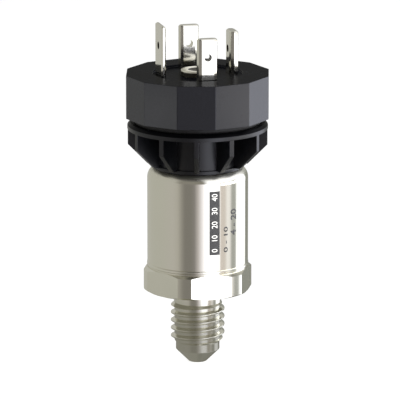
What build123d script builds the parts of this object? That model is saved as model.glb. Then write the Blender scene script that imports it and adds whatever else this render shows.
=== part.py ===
from build123d import *
import math
import os

# A pressure transmitter for a hydraulic line, standing on the tip of its flared process fitting.
# Millimetres. Z runs up the axis from the tip's face to the contact blades.
# The earth blade is at -X and the other three blades are at +X, +Y and -Y.

# Process fitting
tip_radius = 2.2
port_radius = 1.5
flare_angle = 45.0
nose_radius = 5.22
nose_height = 4.9
thread_crest_radius = 6.43
thread_root_radius = 5.55
thread_pitch = 1.91
thread_flank_angle = 30.0
thread_crest_flat = 0.24
thread_length = 9.8
thread_lead_in = 1.43
thread_sink = 0.15
thread_trim = 0.02
neck_radius = 5.65
neck_length = 3.05
hex_across_flats = 24.0
hex_land_radius = 13.0
hex_height = 5.8
hex_turn = 2.0
hex_chamfer_angle = 30.0
collar_groove_height = 0.35
collar_groove_depth = 0.1
collar_height = 0.75
collar_step = 0.08
collar_edge = 0.15

# Housing can
can_radius = 12.0
can_wall = 0.8
can_length = 20.45
shoulder_radius = 2.9
lip_clearance = 0.1

# Pocket and measuring cell
spigot_clearance = 0.05
spigot_wall = 1.89
spigot_height = 9.35
pocket_depth = 10.6
cell_height = 6.35
cell_clearance = 0.3
diaphragm_step = 0.3
seal_groove_inset = 2.5
seal_groove_width = 2.4
seal_groove_depth = 1.85
seal_section_radius = 0.92
ring_height = 3.0
ring_wall = 2.95
ring_clearance = 0.05
ring_notch_width = 1.6
ring_notch_depth = 1.2
pin_radius = 0.3
pin_circle_radius = 4.0
pin_stand = 0.8

# Circuit board and its carrier
carrier_outer_clearance = 0.2
carrier_wall = 1.45
carrier_rim_wall = 0.64
carrier_ledge_height = 3.4
board_thickness = 1.6
board_clearance = 0.1
hole_clearance = 0.1
part_clearance = 0.1
signal_chip_size = (4.0, 4.0, 1.0)
regulator_size = (3.5, 3.0, 1.5)
diode_size = (4.4, 2.4, 2.2)
capacitor_size = (1.25, 2.0, 1.2)
capacitor_pitch = 1.8
capacitor_count = 3
resistor_size = (1.6, 0.8, 0.5)
resistor_spacing = (2.4, 1.6)
spring_thickness = 0.25
spring_width = 2.0
spring_foot = 2.6
spring_rise = 1.9
spring_angle = 45.0

# Connector body
skirt_clearance = 0.24
barrel_step = 0.65
barrel_wall = 1.85
skirt_bottom_gap = 2.5
skirt_height = 3.3
body_groove_width = 2.0
body_groove_depth = 1.7
body_groove_rise = 0.6
body_seal_section = 0.92
body_seal_clearance = 0.09
thrust_ring_height = 1.15
thrust_ring_inset = 0.1
thrust_ring_clearance = 0.05
foot_step = 0.55
foot_height = 0.85
foot_lift = 0.12
rib_count = 12
rib_thickness = 1.2
rib_foot_inset = 0.14
rib_foot_lift = 0.35
rib_kink_height = 5.35
rib_inset = 0.12
flange_rim_height = 0.9
flange_chamfer_height = 0.78
flange_chamfer_width = 0.68
flange_lift = 8.95
web_thickness = 1.5
web_lift = 4.0
vent_radius = 0.8
vent_disc_radius = 2.4
vent_disc_thickness = 0.4

# Joint between the connector body and the contact carrier
gasket_thickness = 1.3
gasket_width = 2.2
gasket_inset = 0.8
latch_ring_radius = 12.9
latch_ring_wall = 1.4
latch_ring_height = 4.3
latch_clearance = 0.1
bead_depth = 0.25
bead_height = 0.7
bead_lift = 2.95

# Contact carrier, the twelve-sided cap
cap_sides = 12
cap_corner_radius = 17.4
cap_height = 10.38
cap_edge = 0.1
cap_cavity_depth = 5.6
recess_radius = 10.7
recess_depth = 0.55
hub_wall = 2.16
hub_drop = 2.4

# Blades
blade_width = 4.9
blade_thickness = 2.2
blade_flat_width = 2.92
blade_flank_width = 0.69
blade_flank_depth = 0.25
blade_edge_flat = 0.2
blade_tip_bevel = 0.3
blade_stand = 9.85
earth_blade_width = 6.6
earth_blade_thickness = 1.1
earth_blade_stand = 11.95
blade_hole_radius = 0.88
blade_hole_drop = 4.4
earth_hole_drop = 5.0
blade_radius = 9.0
right_blade_radius = 8.4
blade_slot_clearance = 0.05
blade_shoulder_width = 6.0
earth_shoulder_width = 7.8
blade_shoulder_height = 1.5
blade_tail_width = 1.6
blade_tail_length = 3.0
blade_foot_reach = 0.5
blade_foot_height = 0.8
lead_radius = 0.4
lead_inset = 0.6
lead_stand = 0.8

# Centre insert
insert_radius = 4.04
insert_clearance = 0.02
insert_stand = 0.8
insert_length = 7.9
insert_hole_radius = 1.25
insert_hole_depth = 7.0
insert_mouth_radius = 2.3
insert_edge = 0.35

# Heights that follow
flare_height = (nose_radius - tip_radius) / math.tan(math.radians(flare_angle))
thread_top_z = nose_height + thread_length
hex_z = thread_top_z + neck_length
hex_top_z = hex_z + hex_height
collar_z = hex_top_z + collar_groove_height
collar_radius = can_radius + collar_step
can_z = collar_z + collar_height
can_top_z = can_z + can_length
shoulder_top_z = can_top_z + shoulder_radius
cavity_radius = latch_ring_radius + latch_clearance
gasket_radius = cavity_radius + gasket_width
flange_top_radius = gasket_radius + gasket_inset
flange_radius = flange_top_radius + flange_chamfer_width
can_bore_radius = can_radius - can_wall
skirt_radius = can_bore_radius - skirt_clearance
barrel_radius = skirt_radius - barrel_step
barrel_bore_radius = barrel_radius - barrel_wall
lead_circle_radius = barrel_bore_radius - lead_inset
lip_radius = barrel_radius + lip_clearance
lip_z = can_top_z + math.sqrt(shoulder_radius ** 2 - (lip_radius - can_radius + shoulder_radius) ** 2)

spigot_top_z = can_z + spigot_height
pocket_floor_z = spigot_top_z - pocket_depth
spigot_radius = can_bore_radius - spigot_clearance
pocket_radius = spigot_radius - spigot_wall
cell_radius = pocket_radius - cell_clearance
seal_groove_radius = cell_radius - seal_groove_inset
cell_top_z = pocket_floor_z + cell_height

carrier_radius = can_bore_radius - carrier_outer_clearance
board_radius = carrier_radius - carrier_rim_wall - board_clearance
board_part_reach = lead_circle_radius - lead_radius - part_clearance
ledge_z = spigot_top_z + carrier_ledge_height
board_top_z = ledge_z + board_thickness
skirt_z = board_top_z + skirt_bottom_gap
skirt_top_z = skirt_z + skirt_height

flange_z = shoulder_top_z + flange_lift
flange_rim_z = flange_z + flange_rim_height
flange_top_z = flange_rim_z + flange_chamfer_height
cap_z = flange_top_z + gasket_thickness
cap_top_z = cap_z + cap_height
cap_ceiling_z = cap_z + cap_cavity_depth
recess_z = cap_top_z - recess_depth
hub_z = cap_ceiling_z - hub_drop
insert_top_z = cap_top_z + insert_stand

tail_z = cap_ceiling_z - blade_shoulder_height - blade_tail_length
through = 200.0
upright = (Align.CENTER, Align.CENTER, Align.MIN)


def disc(radius, bottom, height):
    """A plain disc or rod about the axis."""
    return Pos(0, 0, bottom) * Cylinder(radius, height, align=upright)


def ring(outer, inner, bottom, height):
    """A plain ring or tube about the axis."""
    return disc(outer, bottom, height) - disc(inner, bottom, height)


def turned(points):
    """A turned solid from its half section, given as radius and height."""
    outline = [(radius, 0, height) for radius, height in points]
    return revolve(Face(Wire.make_polygon([Vector(*point) for point in outline], close=True)), Axis.Z)


def block(size, place, bottom):
    """A box that stands at a place on a level."""
    width, depth, height = size
    return Pos(place[0], place[1], bottom) * Box(width, depth, height, align=upright)


# Thread: a helical ridge on the root cylinder, trimmed by the chamfered envelope
def thread_ridge():
    # The ridge is rooted a little inside the core, and the envelope stays just clear of its crest
    depth = thread_crest_radius - thread_root_radius
    half_crest = thread_crest_flat / 2
    half_sunk = half_crest + (depth + thread_sink) * math.tan(math.radians(thread_flank_angle))
    turns_height = thread_length + 2 * thread_pitch
    path = Pos(0, 0, nose_height - thread_lead_in) * Helix(thread_pitch, turns_height, thread_root_radius)
    corners = (
        (-thread_sink, -half_sunk),
        (depth, -half_crest),
        (depth, half_crest),
        (-thread_sink, half_sunk),
    )
    start = path.position_at(0)
    tangent = path.tangent_at(0)
    section_plane = Plane(origin=start, x_dir=(start.X, start.Y, 0), z_dir=tangent)
    section = section_plane * Polygon(*corners, align=None)
    ridge = sweep(section, path=path, is_frenet=True)
    outer = thread_crest_radius + thread_trim
    envelope = turned((
        (0, nose_height),
        (nose_radius, nose_height),
        (outer, nose_height + outer - nose_radius),
        (outer, thread_top_z - outer + thread_root_radius),
        (thread_root_radius, thread_top_z),
        (0, thread_top_z),
    ))
    return ridge & envelope


# Hexagon with turned corners and a chamfer at both ends
def hexagon():
    rise = (hex_land_radius - collar_radius) * math.tan(math.radians(hex_chamfer_angle))
    outline = RegularPolygon(hex_across_flats / 2, 6, major_radius=False)
    prism = Pos(0, 0, hex_z) * Rot(0, 0, hex_turn) * extrude(outline, hex_height)
    turning = turned((
        (0, hex_z),
        (collar_radius, hex_z),
        (hex_land_radius, hex_z + rise),
        (hex_land_radius, hex_top_z - rise),
        (collar_radius, hex_top_z),
        (0, hex_top_z),
    ))
    return prism & turning


def process_fitting():
    groove_radius = can_radius - collar_groove_depth
    stem = turned((
        (0, 0),
        (tip_radius, 0),
        (nose_radius, flare_height),
        (nose_radius, nose_height),
        (thread_root_radius, nose_height + thread_root_radius - nose_radius),
        (thread_root_radius, thread_top_z),
        (neck_radius, thread_top_z),
        (neck_radius, hex_z),
        (neck_radius, hex_top_z),
        (groove_radius, hex_top_z),
        (groove_radius, collar_z),
        (collar_radius - collar_edge, collar_z),
        (collar_radius, collar_z + collar_edge),
        (collar_radius, can_z - collar_edge),
        (collar_radius - collar_edge, can_z),
        (spigot_radius, can_z),
        (spigot_radius, spigot_top_z),
        (0, spigot_top_z),
    ))
    body = stem + hexagon() + thread_ridge()
    body -= disc(pocket_radius, pocket_floor_z, pocket_depth)
    groove_bottom_z = pocket_floor_z - seal_groove_depth
    groove_outer = seal_groove_radius + seal_groove_width / 2
    groove_inner = seal_groove_radius - seal_groove_width / 2
    body -= ring(groove_outer, groove_inner, groove_bottom_z, seal_groove_depth)
    body -= disc(port_radius, 0, through)
    return body


def cell_seal():
    groove_bottom_z = pocket_floor_z - seal_groove_depth
    return Pos(0, 0, groove_bottom_z + seal_section_radius) * Torus(seal_groove_radius, seal_section_radius)


def ceramic_cell():
    cell = disc(cell_radius, pocket_floor_z, cell_height)
    return cell - disc(port_radius, pocket_floor_z, diaphragm_step)


def cell_ring():
    outer = pocket_radius - ring_clearance
    clamp = ring(outer, outer - ring_wall, cell_top_z, ring_height)
    notch_z = cell_top_z + ring_height - ring_notch_depth
    return clamp - block((2 * pocket_radius, ring_notch_width, ring_notch_depth), (0, 0), notch_z)


def cell_pins():
    length = board_top_z + pin_stand - cell_top_z
    pin = disc(pin_radius, cell_top_z, length)
    return Compound([place * pin for place in PolarLocations(pin_circle_radius, 4, 45)])


def board_carrier():
    carrier = ring(carrier_radius, carrier_radius - carrier_wall, spigot_top_z, board_top_z - spigot_top_z)
    return carrier - disc(board_radius + board_clearance, ledge_z, board_thickness)


def circuit_board():
    board = disc(board_radius, ledge_z, board_thickness)
    for place in PolarLocations(pin_circle_radius, 4, 45):
        board -= place * disc(pin_radius + hole_clearance, ledge_z, board_thickness)
    for place in PolarLocations(lead_circle_radius, 4):
        board -= place * disc(lead_radius + hole_clearance, ledge_z, board_thickness)
    return board


def capacitors():
    first_x = -capacitor_pitch * (capacitor_count - 1) / 2
    row_y = board_part_reach - capacitor_size[1] / 2
    places = [(first_x + capacitor_pitch * index, row_y) for index in range(capacitor_count)]
    return Compound([block(capacitor_size, place, board_top_z) for place in places])


def resistors():
    step_x, step_y = resistor_spacing
    places = [(x * step_x / 2, y * step_y / 2) for x in (-1, 1) for y in (-1, 1)]
    return Compound([block(resistor_size, place, board_top_z) for place in places])


def earth_spring():
    # A flat foot on the board, then a leg that leans out to the can's wall
    reach = can_bore_radius - hole_clearance
    heel = reach - spring_rise
    toe = heel - spring_foot
    profile = Polygon(
        (toe, 0),
        (heel + spring_thickness / 2, 0),
        (reach, spring_rise - spring_thickness),
        (reach, spring_rise),
        (heel - spring_thickness / 2, spring_thickness),
        (toe, spring_thickness),
        align=None,
    )
    strip = extrude(Plane.XZ * profile, spring_width / 2, both=True)
    return Rot(0, 0, spring_angle) * Pos(0, 0, board_top_z) * strip


def housing_can():
    wall_top = can_top_z
    centre = can_radius - shoulder_radius
    outer_arc = CenterArc((centre, wall_top), shoulder_radius, 0, 90)
    inner_arc = CenterArc((centre, wall_top), shoulder_radius - can_wall, 0, 90)
    edges = [
        Line((can_radius, can_z), (can_radius, wall_top)),
        outer_arc,
        Line(outer_arc @ 1, inner_arc @ 1),
        inner_arc,
        Line(inner_arc @ 0, (can_bore_radius, can_z)),
        Line((can_bore_radius, can_z), (can_radius, can_z)),
    ]
    section = Plane.XZ * make_face(edges)
    shell = revolve(section, Axis.Z)
    return shell - disc(lip_radius, can_z, through)


def rib():
    foot_z = shoulder_top_z + rib_foot_lift
    kink_z = foot_z + rib_kink_height
    inner = barrel_bore_radius + (barrel_radius - barrel_bore_radius) / 2
    profile = Polygon(
        (inner, foot_z),
        (can_radius - rib_foot_inset, foot_z),
        (flange_radius - rib_inset, kink_z),
        (flange_radius - rib_inset, flange_z),
        (inner, flange_z),
        align=None,
    )
    return extrude(Plane.XZ * profile, rib_thickness / 2, both=True)


def connector_body():
    body = turned((
        (barrel_bore_radius, skirt_z),
        (skirt_radius, skirt_z),
        (skirt_radius, skirt_top_z),
        (barrel_radius, skirt_top_z),
        (barrel_radius, flange_z),
        (flange_radius, flange_z),
        (flange_radius, flange_rim_z),
        (flange_top_radius, flange_top_z),
        (latch_ring_radius, flange_top_z),
        (latch_ring_radius, flange_top_z + latch_ring_height),
        (latch_ring_radius - latch_ring_wall, flange_top_z + latch_ring_height),
        (latch_ring_radius - latch_ring_wall, flange_top_z),
        (barrel_bore_radius, flange_top_z),
    ))
    body += ring(barrel_radius + foot_step, barrel_bore_radius, lip_z + foot_lift, foot_height)
    ribs = [place * rib() for place in PolarLocations(0, rib_count, 180 / rib_count)]
    body += ribs
    latch_bore_radius = latch_ring_radius - latch_ring_wall
    body += ring(latch_ring_radius + bead_depth, latch_bore_radius, flange_top_z + bead_lift, bead_height)
    groove_z = skirt_z + body_groove_rise
    body -= ring(skirt_radius, skirt_radius - body_groove_depth, groove_z, body_groove_width)
    web_z = shoulder_top_z + web_lift
    web = disc(barrel_bore_radius, web_z, web_thickness) - disc(vent_radius, web_z, web_thickness)
    for place in PolarLocations(lead_circle_radius, 4):
        web -= place * disc(lead_radius + hole_clearance, web_z, web_thickness)
    return body + web


def body_seal():
    seal_z = skirt_z + body_groove_rise + body_groove_width / 2
    seal_radius = can_bore_radius - body_seal_clearance - body_seal_section
    return Pos(0, 0, seal_z) * Torus(seal_radius, body_seal_section)


def thrust_ring():
    bore = barrel_radius + thrust_ring_clearance
    return ring(skirt_radius - thrust_ring_inset, bore, skirt_top_z, thrust_ring_height)


def vent_disc():
    return disc(vent_disc_radius, shoulder_top_z + web_lift + web_thickness, vent_disc_thickness)


def carrier_gasket():
    return ring(gasket_radius, cavity_radius, flange_top_z, gasket_thickness)


# A blade's section, its thickness along X and its width along Y, is given by the corners of one quarter
blade_section = [
    (blade_thickness / 2, blade_flat_width / 2),
    (blade_thickness / 2 - blade_flank_depth, blade_flat_width / 2 + blade_flank_width),
    (blade_edge_flat / 2, blade_width / 2),
]
earth_section = [(earth_blade_thickness / 2, earth_blade_width / 2)]


def blade_outline(section):
    upper = section + [(-x, y) for x, y in reversed(section)]
    lower = [(-x, -y) for x, y in upper]
    return Polygon(*upper, *lower)


# Blades stand at a radius, with their width along the tangent
def blade(section, shoulder_width, stand, hole_drop, radius, angle):
    top_z = cap_top_z + stand
    shaft_z = cap_ceiling_z - blade_shoulder_height
    half = section[0][0]
    shaft = Pos(0, 0, shaft_z) * extrude(blade_outline(section), top_z - shaft_z)
    shaft = chamfer(shaft.faces().sort_by(Axis.Z)[-1].edges(), blade_tip_bevel)
    hole = Pos(0, 0, top_z - hole_drop) * Rot(0, 90, 0) * Cylinder(blade_hole_radius, 4 * half)
    shoulder = block((2 * half, shoulder_width, blade_shoulder_height), (0, 0), shaft_z)
    tail = block((2 * half, blade_tail_width, blade_tail_length), (0, 0), tail_z)
    inner = lead_circle_radius - lead_radius - blade_foot_reach - radius
    foot_length = half - inner
    foot = block((foot_length, blade_tail_width, blade_foot_height), ((half + inner) / 2, 0), tail_z)
    piece = (shaft - hole) + shoulder + tail + foot
    return Rot(0, 0, angle) * Pos(radius, 0, 0) * piece


def blade_slot(section, radius, angle):
    outline = offset(blade_outline(section), amount=blade_slot_clearance, kind=Kind.INTERSECTION)
    return Rot(0, 0, angle) * Pos(radius, 0, cap_z) * extrude(outline, cap_height)


plug_blade = (blade_section, blade_shoulder_width, blade_stand, blade_hole_drop)
earth_blade = (earth_section, earth_shoulder_width, earth_blade_stand, earth_hole_drop)
blades = {
    "blade_1": (*plug_blade, blade_radius, -90),
    "blade_2": (*plug_blade, blade_radius, 90),
    "blade_3": (*plug_blade, right_blade_radius, 0),
    "blade_earth": (*earth_blade, blade_radius, 180),
}


def contact_carrier():
    prism = Pos(0, 0, cap_z) * extrude(RegularPolygon(cap_corner_radius, cap_sides), cap_height)
    rims = prism.faces().sort_by(Axis.Z)[-1].edges() + prism.faces().sort_by(Axis.Z)[0].edges()
    cap = chamfer(rims, cap_edge)
    cap -= disc(recess_radius, recess_z, recess_depth)
    cavity = disc(cavity_radius, cap_z, cap_cavity_depth)
    cap -= cavity
    bead_bottom_z = flange_top_z + bead_lift - latch_clearance
    cap -= ring(cavity_radius + bead_depth, cavity_radius, bead_bottom_z, bead_height + 2 * latch_clearance)
    cap += disc(insert_radius + hub_wall, hub_z, hub_drop)
    cap -= disc(insert_radius + insert_clearance, cap_z, cap_height)
    for section, shoulder_width, stand, hole_drop, radius, angle in blades.values():
        cap -= blade_slot(section, radius, angle)
    return cap


def centre_insert():
    mouth_depth = insert_mouth_radius - insert_hole_radius
    bottom_z = insert_top_z - insert_length
    return turned((
        (0, bottom_z),
        (insert_radius, bottom_z),
        (insert_radius, insert_top_z - insert_edge),
        (insert_radius - insert_edge, insert_top_z),
        (insert_mouth_radius, insert_top_z),
        (insert_hole_radius, insert_top_z - mouth_depth),
        (insert_hole_radius, insert_top_z - insert_hole_depth),
        (0, insert_top_z - insert_hole_depth),
    ))


def blade_leads():
    bottom_z = ledge_z - lead_stand
    lead = disc(lead_radius, bottom_z, tail_z - bottom_z)
    return Compound([place * lead for place in PolarLocations(lead_circle_radius, 4)])


nodes = {
    "process_fitting": process_fitting(),
    "housing_can": housing_can(),
    "connector_body": connector_body(),
    "contact_carrier": contact_carrier(),
    "centre_insert": centre_insert(),
    "cell_seal": cell_seal(),
    "ceramic_cell": ceramic_cell(),
    "cell_ring": cell_ring(),
    "cell_pins": cell_pins(),
    "board_carrier": board_carrier(),
    "circuit_board": circuit_board(),
    "signal_chip": block(signal_chip_size, (signal_chip_size[0] / 2 - board_part_reach, 0), board_top_z),
    "regulator": block(regulator_size, (board_part_reach - regulator_size[0] / 2, 0), board_top_z),
    "surge_diode": block(diode_size, (0, diode_size[1] / 2 - board_part_reach), board_top_z),
    "capacitors": capacitors(),
    "resistors": resistors(),
    "earth_spring": earth_spring(),
    "body_seal": body_seal(),
    "thrust_ring": thrust_ring(),
    "vent_disc": vent_disc(),
    "carrier_gasket": carrier_gasket(),
    "blade_leads": blade_leads(),
}
for name, facts in blades.items():
    nodes[name] = blade(*facts)

os.makedirs("parts", exist_ok=True)
for name, solid in nodes.items():
    export_step(solid, os.path.join("parts", name + ".step"))
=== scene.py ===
import math

import bmesh
import bpy
from mathutils import Matrix, Vector


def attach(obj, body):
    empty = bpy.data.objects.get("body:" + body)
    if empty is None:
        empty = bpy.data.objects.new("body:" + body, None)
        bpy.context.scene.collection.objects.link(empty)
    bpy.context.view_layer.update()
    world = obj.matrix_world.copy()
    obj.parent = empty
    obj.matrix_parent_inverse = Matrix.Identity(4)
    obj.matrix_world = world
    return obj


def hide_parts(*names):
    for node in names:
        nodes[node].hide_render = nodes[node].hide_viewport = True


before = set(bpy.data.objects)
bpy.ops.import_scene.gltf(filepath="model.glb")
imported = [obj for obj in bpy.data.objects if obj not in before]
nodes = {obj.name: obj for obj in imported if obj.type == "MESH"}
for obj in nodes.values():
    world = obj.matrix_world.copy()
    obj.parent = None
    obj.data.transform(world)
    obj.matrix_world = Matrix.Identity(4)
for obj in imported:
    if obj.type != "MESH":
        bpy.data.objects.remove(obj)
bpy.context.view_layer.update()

mm = 0.001
print("frame loaded,", len(nodes), "nodes")


# A socket with arithmetic, so that shader maths reads as plain expressions
class Wire:
    def __init__(self, shader, socket):
        self.shader = shader
        self.socket = socket

    def part(self, output):
        return Wire(self.shader, self.socket.node.outputs[output])

    def make(self, operation, *values):
        return self.shader.node("ShaderNodeMath", {"operation": operation}, *values)

    def __add__(self, other):
        return self.make("ADD", self, other)

    def __radd__(self, other):
        return self.make("ADD", other, self)

    def __sub__(self, other):
        return self.make("SUBTRACT", self, other)

    def __rsub__(self, other):
        return self.make("SUBTRACT", other, self)

    def __mul__(self, other):
        return self.make("MULTIPLY", self, other)

    def __rmul__(self, other):
        return self.make("MULTIPLY", other, self)

    def __truediv__(self, other):
        return self.make("DIVIDE", self, other)

    def __rtruediv__(self, other):
        return self.make("DIVIDE", other, self)

    def __gt__(self, other):
        return self.make("GREATER_THAN", self, other)

    def __lt__(self, other):
        return self.make("LESS_THAN", self, other)

    def root(self):
        return self.make("SQRT", self)


class Shader:
    def __init__(self, owner):
        owner.use_nodes = True
        self.tree = owner.node_tree
        self.tree.nodes.clear()

    # One node: its type, its settings, then its sockets in order or by name
    def node(self, kind, settings=None, *values, output=0, **named):
        made = self.tree.nodes.new(kind)
        for key, value in (settings or {}).items():
            if key == "stops":
                self.setStops(made.color_ramp, value)
            else:
                setattr(made, key, value)
        for index, value in enumerate(values):
            self.feed(made.inputs[index], value)
        for key, value in named.items():
            self.feed(made.inputs[key.replace("_", " ")], value)
        return Wire(self, made.outputs[output]) if made.outputs else made

    def setStops(self, ramp, stops):
        while len(ramp.elements) > 1:
            ramp.elements.remove(ramp.elements[-1])
        for index, (place, colour) in enumerate(stops):
            stop = ramp.elements[0] if index == 0 else ramp.elements.new(place)
            stop.position = place
            stop.color = colour if len(colour) == 4 else (*colour, 1)

    def feed(self, socket, value):
        if value is None:
            return
        if isinstance(value, Wire):
            self.tree.links.new(value.socket, socket)
            return
        if socket.type == "RGBA" and len(value) == 3:
            value = (*value, 1)
        socket.default_value = value

    # For colours the Mix node takes its seventh and eighth sockets, and gives its third
    def mixed(self, factor, first, second):
        unused = [None] * 5
        return self.node("ShaderNodeMix", {"data_type": "RGBA"}, factor, *unused, first, second, output=2)

    def between(self, value, low, high, newLow=0.0, newHigh=1.0):
        return self.node("ShaderNodeMapRange", {}, value, low, high, newLow, newHigh)


# Screen values, 0 to 255, as the linear colour that Blender wants
def fromScreen(*colour):
    return tuple(((c / 255 + 0.055) / 1.055) ** 2.4 if c > 10 else c / 255 / 12.92 for c in colour)


# The camera stands as in the photograph: a long lens, a little above the part
camera = {
    "azimuth": -14.03,
    "elevation": 13.06,
    "distance": 1107.8 * mm,
    "lens": 419.3,
    "targetRight": 0.56 * mm,
    "targetHeight": 39.35 * mm,
    "nearClip": 0.1,
    "farClip": 10,
}
lookAngle = math.radians(camera["azimuth"])
rightward = Vector((math.cos(lookAngle), math.sin(lookAngle), 0))
towards = Vector((math.sin(lookAngle), -math.cos(lookAngle), 0))


def addCamera(c):
    elevation = math.radians(c["elevation"])
    back = towards * math.cos(elevation) + Vector((0, 0, math.sin(elevation)))
    target = rightward * c["targetRight"] + Vector((0, 0, c["targetHeight"]))
    bpy.ops.object.camera_add(location=target + back * c["distance"])
    made = bpy.context.object
    made.name = "photoCamera"
    made.rotation_euler = (-back).to_track_quat("-Z", "Y").to_euler()
    made.data.lens = c["lens"]
    made.data.clip_start = c["nearClip"]
    made.data.clip_end = c["farClip"]
    bpy.context.scene.camera = made


addCamera(camera)
print("camera placed")


# Modelling helpers. Sizes are in millimetres; a direction lies along an axis from alongAxis up
alongAxis = 0.9
weldReach = 0.0005


def startClean():
    if bpy.context.object and bpy.context.object.mode != "OBJECT":
        bpy.ops.object.mode_set(mode="OBJECT")
    bpy.ops.object.select_all(action="DESELECT")


def takeUp(piece):
    startClean()
    piece.select_set(True)
    bpy.context.view_layer.objects.active = piece


def editMode():
    bpy.ops.object.mode_set(mode="EDIT")


def objectMode():
    bpy.ops.object.mode_set(mode="OBJECT")


def settle(piece):
    takeUp(piece)
    bpy.ops.object.transform_apply(location=True, rotation=True, scale=True)


def selectAll():
    bpy.ops.mesh.select_all(action="SELECT")


# Adds a modifier with these settings and applies it
def useModifier(piece, kind, **settings):
    takeUp(piece)
    bpy.ops.object.modifier_add(type=kind)
    made = piece.modifiers[-1]
    for key, value in settings.items():
        setattr(made, key, value)
    bpy.ops.object.modifier_apply(modifier=made.name)


# Selects the faces, or with edges=True the edges, that pass a test of middle and direction
def pick(test, edges=False):
    bpy.ops.mesh.select_mode(type="EDGE" if edges else "FACE")
    bpy.ops.mesh.select_all(action="DESELECT")
    shape = bmesh.from_edit_mesh(bpy.context.object.data)
    if edges:
        for edge in shape.edges:
            first, second = (v.co for v in edge.verts)
            edge.select = test((first + second) / 2, (second - first).normalized())
    else:
        for face in shape.faces:
            face.select = test(face.calc_center_median(), face.normal)
    shape.select_flush_mode()
    bmesh.update_edit_mesh(bpy.context.object.data)


def closeUp():
    bpy.ops.mesh.select_mode(type="VERT")
    selectAll()
    bpy.ops.mesh.remove_doubles(threshold=weldReach * mm)
    bpy.ops.mesh.select_all(action="DESELECT")
    bpy.ops.mesh.select_non_manifold()
    bpy.ops.mesh.edge_face_add()
    selectAll()
    bpy.ops.mesh.normals_make_consistent(inside=False)


# A ring of the profile's first point is extruded and resized from point to point, back to the first
def turnRing(name, points, sides):
    startClean()
    radius, height = points[0]
    bpy.ops.mesh.primitive_circle_add(vertices=sides, radius=radius * mm, location=(0, 0, height * mm))
    piece = bpy.context.object
    piece.name = name
    settle(piece)
    editMode()
    bpy.ops.mesh.select_mode(type="VERT")
    selectAll()
    for nextRadius, nextHeight in (*points[1:], points[0]):
        rise = (0, 0, (nextHeight - height) * mm)
        bpy.ops.mesh.extrude_region_move(TRANSFORM_OT_translate={"value": rise})
        size = nextRadius / radius
        bpy.ops.transform.resize(value=(size, size, 1), center_override=(0, 0, 0))
        radius, height = nextRadius, nextHeight
    selectAll()
    bpy.ops.mesh.remove_doubles(threshold=weldReach * mm)
    bpy.ops.mesh.normals_make_consistent(inside=False)
    objectMode()
    return piece


def addBlock(name, size, place):
    startClean()
    bpy.ops.mesh.primitive_cube_add(size=1, location=Vector(place) * mm)
    piece = bpy.context.object
    piece.name = name
    piece.scale = [length * mm for length in size]
    settle(piece)
    return piece


def addRod(name, radius, low, high, sides=96, turn=0.0):
    startClean()
    bpy.ops.mesh.primitive_cylinder_add(
        vertices=sides, radius=radius * mm, depth=(high - low) * mm,
        location=(0, 0, (low + high) / 2 * mm), rotation=(0, 0, turn),
    )
    piece = bpy.context.object
    piece.name = name
    settle(piece)
    return piece


def combine(piece, other, operation):
    useModifier(piece, "BOOLEAN", operation=operation, solver="EXACT", object=other)
    bpy.data.objects.remove(other)


# Slivers that the booleans leave are welded away, and what opens is filled
def weldSlivers(piece, reach=0.001, holeSides=12):
    takeUp(piece)
    editMode()
    bpy.ops.mesh.select_mode(type="VERT")
    selectAll()
    bpy.ops.mesh.remove_doubles(threshold=reach * mm)
    selectAll()
    bpy.ops.mesh.dissolve_degenerate(threshold=reach * mm / 2)
    selectAll()
    bpy.ops.mesh.delete_loose()
    selectAll()
    bpy.ops.mesh.fill_holes(sides=holeSides)
    selectAll()
    bpy.ops.mesh.normals_make_consistent(inside=False)
    objectMode()


def soften(piece, width, angle=30):
    limit = {"limit_method": "ANGLE", "angle_limit": math.radians(angle)}
    useModifier(piece, "BEVEL", width=width * mm, segments=2, **limit)


def shadeSmooth(piece, angle, weighted=True):
    takeUp(piece)
    bpy.ops.object.shade_smooth_by_angle(angle=math.radians(angle))
    if weighted:
        useModifier(piece, "WEIGHTED_NORMAL", keep_sharp=True)


def joinPieces(name, pieces):
    startClean()
    for piece in pieces:
        piece.select_set(True)
    bpy.context.view_layer.objects.active = pieces[0]
    bpy.ops.object.join()
    pieces[0].name = name
    return pieces[0]


def copyTurned(piece, angle):
    takeUp(piece)
    bpy.ops.object.duplicate(linked=False)
    made = bpy.context.object
    made.rotation_euler = (0, 0, angle)
    settle(made)
    return made


def hand(piece, material, slotName, *replaced):
    piece.data.materials.clear()
    piece.data.materials.append(material)
    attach(piece, "root")
    if replaced:
        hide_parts(*replaced)


# Materials. Noise shows as cloudiness between the first two values, and as scuffs between the next two
cloudLow, cloudHigh = 0.3, 0.7
scuffLow, scuffHigh = 0.60, 0.75
metalBump = 0.01 * mm
plasticBump = 0.02 * mm


def shaderPlace(shader):
    place = shader.node("ShaderNodeTexCoord", {}, output="Object")
    split = shader.node("ShaderNodeSeparateXYZ", {}, place)
    return place, split, split.part("Y"), split.part("Z")


def noise(shader, vector, scale, detail, rough):
    settings = {"Scale": scale, "Detail": detail, "Roughness": rough}
    return shader.node("ShaderNodeTexNoise", {}, Vector=vector, **settings)


# Noise swings about one half
def swing(value, share):
    return (value - 0.5) * share


def cloudyTone(shader, clouds, colour, colourDeep):
    return shader.mixed(shader.between(clouds, cloudLow, cloudHigh), colour, colourDeep)


def metalSurface(shader, base, roughness, lines, strength):
    bump = shader.node("ShaderNodeBump", {}, Strength=strength, Distance=metalBump, Height=lines)
    surface = shader.node(
        "ShaderNodeBsdfPrincipled", {}, Base_Color=base, Metallic=1.0, Roughness=roughness, Normal=bump,
    )
    shader.node("ShaderNodeOutputMaterial", {}, surface)


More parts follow.
